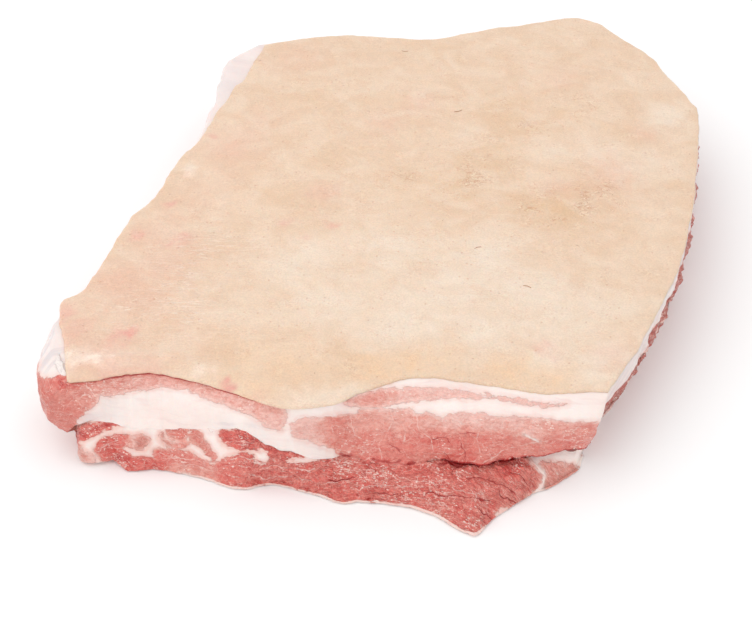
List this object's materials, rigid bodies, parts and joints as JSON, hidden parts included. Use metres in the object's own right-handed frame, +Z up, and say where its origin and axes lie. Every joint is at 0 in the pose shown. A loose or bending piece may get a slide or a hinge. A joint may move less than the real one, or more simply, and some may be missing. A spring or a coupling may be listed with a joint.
{
  "type": "pork belly slab",
  "caption": "Raw pork belly slab with its rind on, lying skin side up, with layered fat and lean on its cut front and a thin rib-side flap that slopes out at the bottom.",
  "frame": {"origin": "middle of the bounding box in plan, on the table plane the slab rests on", "axes": "+X to the right along the cut front face, +Y from the front face to the back of the slab, +Z up through its thickness to the skin"},
  "size_m": [0.383, 0.3996, 0.0551],
  "materials": {
    "raw_pork": "moist raw pork: satin cream rind on top, white fat and pink lean at the cut sides"
  },
  "bodies": {
    "root": {"pork_belly": "raw_pork"}
  },
  "joints": []
}
